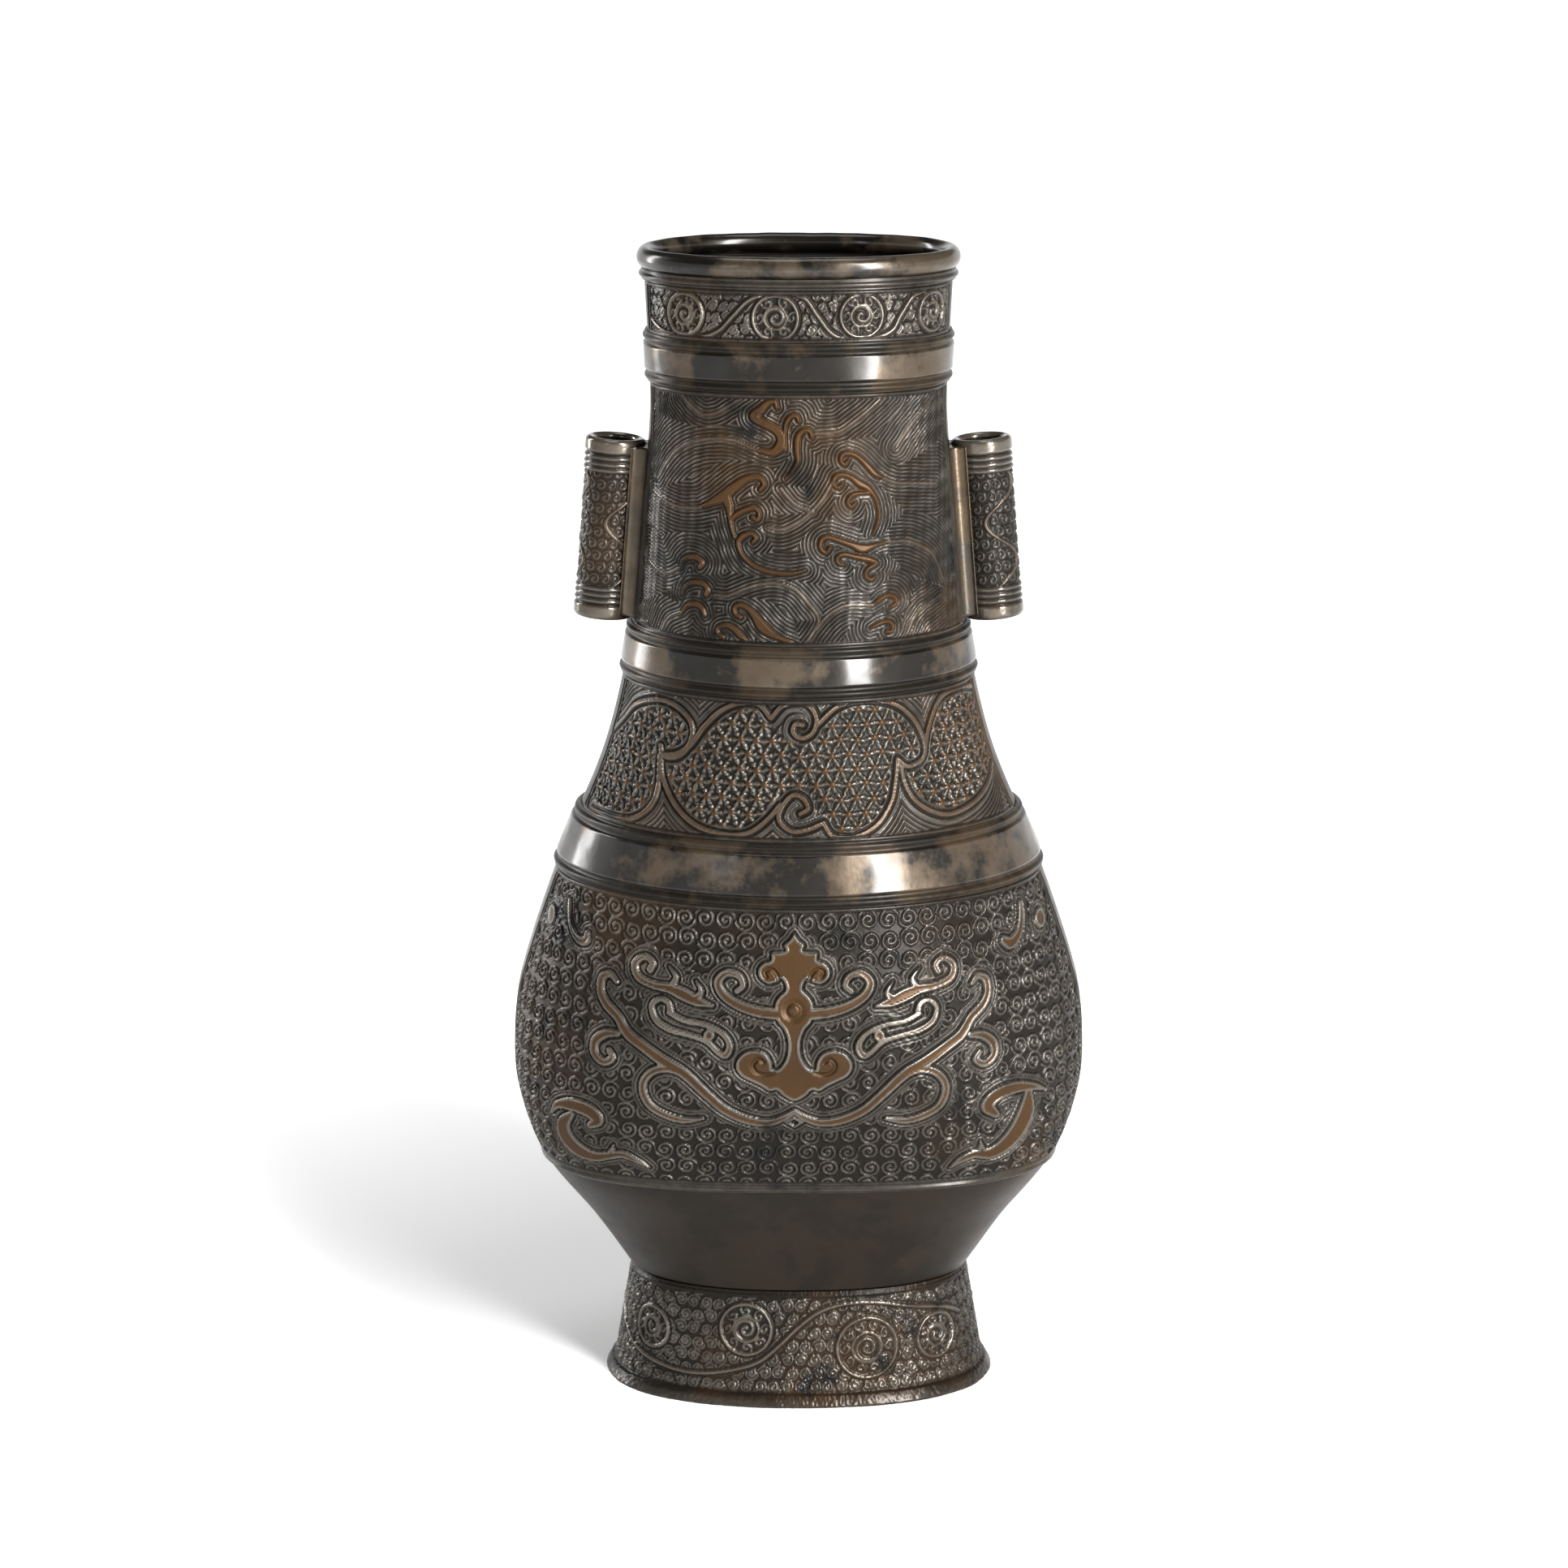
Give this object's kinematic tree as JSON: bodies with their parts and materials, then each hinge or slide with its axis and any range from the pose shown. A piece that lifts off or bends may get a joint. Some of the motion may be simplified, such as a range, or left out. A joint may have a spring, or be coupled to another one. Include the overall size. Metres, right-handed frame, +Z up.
{
  "type": "arrow vase",
  "caption": "Flattened pear-shaped cast bronze vase on a splayed oval foot, with open tubular ears beside the neck and cloud, wave and mask relief.",
  "frame": {"origin": "on the table, under the middle of the foot", "axes": "+Z up to the mouth, +X across the wide side towards the right ear, +Y through the flat side towards the back"},
  "size_m": [0.1304, 0.0946, 0.26],
  "materials": {
    "vessel_bronze": "dark patinated cast bronze, worn warm brown on raised relief",
    "foot_bronze": "dark patinated cast bronze, rough relief, worn edge",
    "plate_bronze": "rough dark cast bronze",
    "ear_bronze": "dark patinated cast bronze, worn brown rims",
    "solder_metal": "smooth yellow-brown run of solder metal"
  },
  "bodies": {
    "root": {"vessel_body": "vessel_bronze", "foot_ring": "foot_bronze", "base_plate": "plate_bronze", "left_ear_tube": "ear_bronze", "right_ear_tube": "ear_bronze", "left_ear_front_solder": "solder_metal", "left_ear_back_solder": "solder_metal", "right_ear_front_solder": "solder_metal", "right_ear_back_solder": "solder_metal"}
  },
  "joints": []
}
